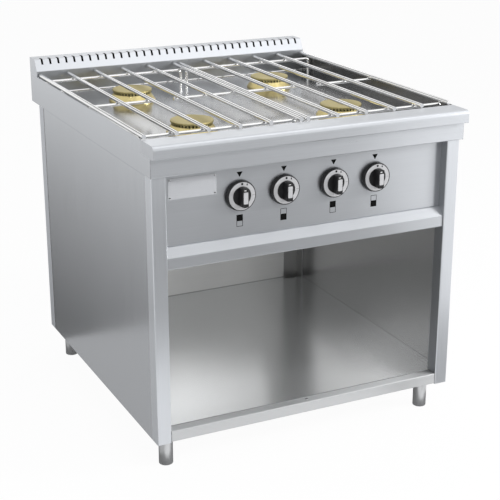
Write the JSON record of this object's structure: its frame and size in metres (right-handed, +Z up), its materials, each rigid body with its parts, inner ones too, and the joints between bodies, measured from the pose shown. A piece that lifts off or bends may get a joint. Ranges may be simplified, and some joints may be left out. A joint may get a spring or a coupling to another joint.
{
  "type": "gas stove",
  "caption": "Free-standing stainless steel gas stove: push-and-turn knobs, rod grates over brass burners, a slotted rear riser, an open storage cabinet and levelling feet.",
  "frame": {"origin": "on the floor under the middle of the hob's width and depth", "axes": "+X to the cook's right, +Y to the rear, +Z up; the control panel faces -Y"},
  "size_m": [0.8, 0.89, 0.836],
  "materials": {
    "steel": "satin brushed stainless steel sheet",
    "rod": "polished stainless steel rod",
    "brass": "machined brass, slightly matt",
    "knob_black": "black moulded plastic",
    "aluminium": "satin aluminium sheet and tube",
    "zinc_steel": "zinc plated steel",
    "cast": "rough aluminium casting"
  },
  "bodies": {
    "stove": {"front_post_left": "steel", "rear_post_left": "steel", "side_panel_left": "steel", "base_rail_left": "steel", "hob_side_left": "steel", "front_post_right": "steel", "rear_post_right": "steel", "side_panel_right": "steel", "base_rail_right": "steel", "hob_side_right": "steel", "back_panel": "steel", "bottom_shelf": "steel", "bottom_front_rail": "steel", "compartment_ceiling": "steel", "leg_tubes": "steel", "hob_front_rail": "steel", "hob_front_strip": "steel", "hob_rear_panel": "steel", "riser": "steel", "hob_well": "steel", "control_panel": "steel", "ledge": "steel", "plate_rivets": "steel", "screws": "steel", "leg_bushes": "zinc_steel", "data_plate": "aluminium", "manifold": "zinc_steel", "manifold_brackets": "zinc_steel", "gas_inlet_pipe": "zinc_steel", "gas_tubes": "aluminium", "tap_bodies": "brass", "injectors": "brass", "burner_bases": "brass", "mixer_tubes": "cast"},
    "tap_plug_rear_left": {"tap_plug_rear_left": "brass"},
    "knob_rear_left": {"knob_rear_left": "knob_black", "knob_trim_rear_left": "aluminium", "spindle_rear_left": "zinc_steel"},
    "burner_cap_rear_left": {"burner_cap_rear_left": "brass"},
    "tap_plug_front_left": {"tap_plug_front_left": "brass"},
    "knob_front_left": {"knob_front_left": "knob_black", "knob_trim_front_left": "aluminium", "spindle_front_left": "zinc_steel"},
    "burner_cap_front_left": {"burner_cap_front_left": "brass"},
    "tap_plug_rear_right": {"tap_plug_rear_right": "brass"},
    "knob_rear_right": {"knob_rear_right": "knob_black", "knob_trim_rear_right": "aluminium", "spindle_rear_right": "zinc_steel"},
    "burner_cap_rear_right": {"burner_cap_rear_right": "brass"},
    "tap_plug_front_right": {"tap_plug_front_right": "brass"},
    "knob_front_right": {"knob_front_right": "knob_black", "knob_trim_front_right": "aluminium", "spindle_front_right": "zinc_steel"},
    "burner_cap_front_right": {"burner_cap_front_right": "brass"},
    "grate_left": {"grate_left": "rod"},
    "grate_right": {"grate_right": "rod"},
    "foot_front_left": {"foot_front_left": "steel"},
    "foot_rear_left": {"foot_rear_left": "steel"},
    "foot_front_right": {"foot_front_right": "steel"},
    "foot_rear_right": {"foot_rear_right": "steel"}
  },
  "joints": [
    {"name": "tap_turn_rear_left", "type": "hinge", "parent": "stove", "child": "tap_plug_rear_left", "pos_m": [-0.1755, -0.394, 0.6455], "axis": [0, -1, 0], "range_deg": [0, 180]},
    {"name": "knob_push_rear_left", "type": "slide", "parent": "tap_plug_rear_left", "child": "knob_rear_left", "axis": [0, 1, 0], "range_m": [0, 0.004], "stiffness_N_per_m": 1500, "springref_m": -0.004},
    {"name": "cap_lift_rear_left", "type": "slide", "parent": "stove", "child": "burner_cap_rear_left", "axis": [0, 0, 1], "range_m": [0, 0.01]},
    {"name": "tap_turn_front_left", "type": "hinge", "parent": "stove", "child": "tap_plug_front_left", "pos_m": [-0.0645, -0.394, 0.6455], "axis": [0, -1, 0], "range_deg": [0, 180]},
    {"name": "knob_push_front_left", "type": "slide", "parent": "tap_plug_front_left", "child": "knob_front_left", "axis": [0, 1, 0], "range_m": [0, 0.004], "stiffness_N_per_m": 1500, "springref_m": -0.004},
    {"name": "cap_lift_front_left", "type": "slide", "parent": "stove", "child": "burner_cap_front_left", "axis": [0, 0, 1], "range_m": [0, 0.01]},
    {"name": "tap_turn_rear_right", "type": "hinge", "parent": "stove", "child": "tap_plug_rear_right", "pos_m": [0.0645, -0.394, 0.6455], "axis": [0, -1, 0], "range_deg": [0, 180]},
    {"name": "knob_push_rear_right", "type": "slide", "parent": "tap_plug_rear_right", "child": "knob_rear_right", "axis": [0, 1, 0], "range_m": [0, 0.004], "stiffness_N_per_m": 1500, "springref_m": -0.004},
    {"name": "cap_lift_rear_right", "type": "slide", "parent": "stove", "child": "burner_cap_rear_right", "axis": [0, 0, 1], "range_m": [0, 0.01]},
    {"name": "tap_turn_front_right", "type": "hinge", "parent": "stove", "child": "tap_plug_front_right", "pos_m": [0.1755, -0.394, 0.6455], "axis": [0, -1, 0], "range_deg": [0, 180]},
    {"name": "knob_push_front_right", "type": "slide", "parent": "tap_plug_front_right", "child": "knob_front_right", "axis": [0, 1, 0], "range_m": [0, 0.004], "stiffness_N_per_m": 1500, "springref_m": -0.004},
    {"name": "cap_lift_front_right", "type": "slide", "parent": "stove", "child": "burner_cap_front_right", "axis": [0, 0, 1], "range_m": [0, 0.01]},
    {"name": "grate_lift_left", "type": "slide", "parent": "stove", "child": "grate_left", "axis": [0, 0, 1], "range_m": [0, 0.15]},
    {"name": "grate_lift_right", "type": "slide", "parent": "stove", "child": "grate_right", "axis": [0, 0, 1], "range_m": [0, 0.15]},
    {"name": "foot_level_front_left", "type": "slide", "parent": "stove", "child": "foot_front_left", "axis": [0, 0, -1], "range_m": [0, 0.025]},
    {"name": "foot_level_rear_left", "type": "slide", "parent": "stove", "child": "foot_rear_left", "axis": [0, 0, -1], "range_m": [0, 0.025]},
    {"name": "foot_level_front_right", "type": "slide", "parent": "stove", "child": "foot_front_right", "axis": [0, 0, -1], "range_m": [0, 0.025]},
    {"name": "foot_level_rear_right", "type": "slide", "parent": "stove", "child": "foot_rear_right", "axis": [0, 0, -1], "range_m": [0, 0.025]}
  ]
}
